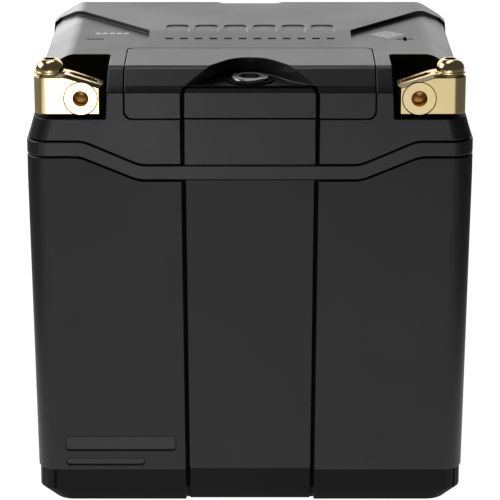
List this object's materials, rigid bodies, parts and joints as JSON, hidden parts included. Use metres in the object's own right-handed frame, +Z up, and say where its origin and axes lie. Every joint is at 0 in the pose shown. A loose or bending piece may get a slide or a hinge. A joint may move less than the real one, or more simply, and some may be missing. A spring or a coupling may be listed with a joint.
{
  "type": "motorcycle battery",
  "caption": "Upright black lithium motorcycle battery with brass corner terminals, screw-down lid trim plate and a cell pack with its management board inside.",
  "frame": {"origin": "centre of the footprint, on the surface that the battery stands on", "axes": "+Z up, the front with both terminals faces -Y, +X to the right seen from the front (positive side)"},
  "size_m": [0.166, 0.126, 0.175],
  "materials": {
    "case_plastic": "fine moulded texture, satin black",
    "lid_plastic": "fine moulded texture, satin black",
    "trim_plastic": "fine moulded texture, satin black",
    "inner_plastic": "plain moulded",
    "plug_plastic": "natural nylon",
    "brass": "polished, lacquered",
    "brass_hardware": "polished",
    "copper": "bare copper",
    "black_steel": "black oxide, slightly glossy",
    "bright_steel": "zinc plated",
    "seal_rubber": "matt",
    "foam": "closed-cell foam, cut faces",
    "cell_sleeve": "heat-shrunk sleeve",
    "nickel_plate": "nickel plated",
    "board": "solder resist over laminate",
    "chip_black": "moulded epoxy",
    "spreader": "bare rolled plate",
    "lead_sleeve": "PVC insulation"
  },
  "bodies": {
    "battery": {"bms_board": "board", "board_screws": "bright_steel", "busbar_negative": "nickel_plate", "busbar_positive": "nickel_plate", "case_tub": "case_plastic", "cell_1": "cell_sleeve", "cell_2": "cell_sleeve", "cell_3": "cell_sleeve", "cell_4": "cell_sleeve", "cell_5": "cell_sleeve", "cell_6": "cell_sleeve", "cell_7": "cell_sleeve", "cell_8": "cell_sleeve", "cell_holder_lower": "inner_plastic", "cell_holder_upper": "inner_plastic", "foam_back_pad": "foam", "foam_base_pad": "foam", "foam_front_pad": "foam", "foam_left_pad": "foam", "foam_right_pad": "foam", "foam_top_pad": "foam", "heat_spreader": "spreader", "lid_cover": "lid_plastic", "lid_seal": "seal_rubber", "negative_pillar": "copper", "power_transistors": "chip_black", "sense_leads": "lead_sleeve", "sense_plug": "plug_plastic", "series_link_1": "nickel_plate", "series_link_2": "nickel_plate", "series_link_3": "nickel_plate", "stud_nut_negative": "bright_steel", "stud_nut_positive": "bright_steel", "terminal_negative": "brass", "terminal_nut_negative": "brass_hardware", "terminal_nut_positive": "brass_hardware", "terminal_positive": "brass", "terminal_seal_negative": "seal_rubber", "terminal_seal_positive": "seal_rubber", "terminal_strap_negative": "copper", "terminal_strap_positive": "copper", "trim_screw_insert": "brass_hardware"},
    "trim_plate": {"front_trim_plate": "trim_plastic"},
    "trim_washer": {"trim_screw_washer": "black_steel"},
    "trim_screw": {"trim_plate_screw": "black_steel"},
    "negative_washer": {"terminal_washer_negative": "brass_hardware"},
    "negative_screw": {"terminal_screw_negative": "brass_hardware"},
    "positive_washer": {"terminal_washer_positive": "brass_hardware"},
    "positive_screw": {"terminal_screw_positive": "brass_hardware"}
  },
  "joints": [
    {"name": "trim_plate_lift", "type": "slide", "parent": "battery", "child": "trim_plate", "axis": [0, 0, 1], "range_m": [0, 0.03]},
    {"name": "trim_screw_lift", "type": "slide", "parent": "trim_plate", "child": "trim_washer", "axis": [0, 0, 1], "range_m": [0, 0.012]},
    {"name": "trim_screw_turn", "type": "hinge", "parent": "trim_washer", "child": "trim_screw", "pos_m": [0, -0.0521, 0.1667], "axis": [0, 0, 1], "range_deg": [0, 4325]},
    {"name": "negative_screw_lift", "type": "slide", "parent": "battery", "child": "negative_washer", "axis": [0, 0, 1], "range_m": [0, 0.012]},
    {"name": "negative_screw_turn", "type": "hinge", "parent": "negative_washer", "child": "negative_screw", "pos_m": [-0.0739, -0.0554, 0.1717], "axis": [0, 0, 1], "range_deg": [0, 4325]},
    {"name": "positive_screw_lift", "type": "slide", "parent": "battery", "child": "positive_washer", "axis": [0, 0, 1], "range_m": [0, 0.012]},
    {"name": "positive_screw_turn", "type": "hinge", "parent": "positive_washer", "child": "positive_screw", "pos_m": [0.0739, -0.0554, 0.1717], "axis": [0, 0, 1], "range_deg": [0, 4325]}
  ],
  "couplings": [
    {"joint": "trim_screw_turn", "follows": "trim_screw_lift", "rad_per_m": 6283.2},
    {"joint": "negative_screw_turn", "follows": "negative_screw_lift", "rad_per_m": 6283.2},
    {"joint": "positive_screw_turn", "follows": "positive_screw_lift", "rad_per_m": 6283.2}
  ]
}
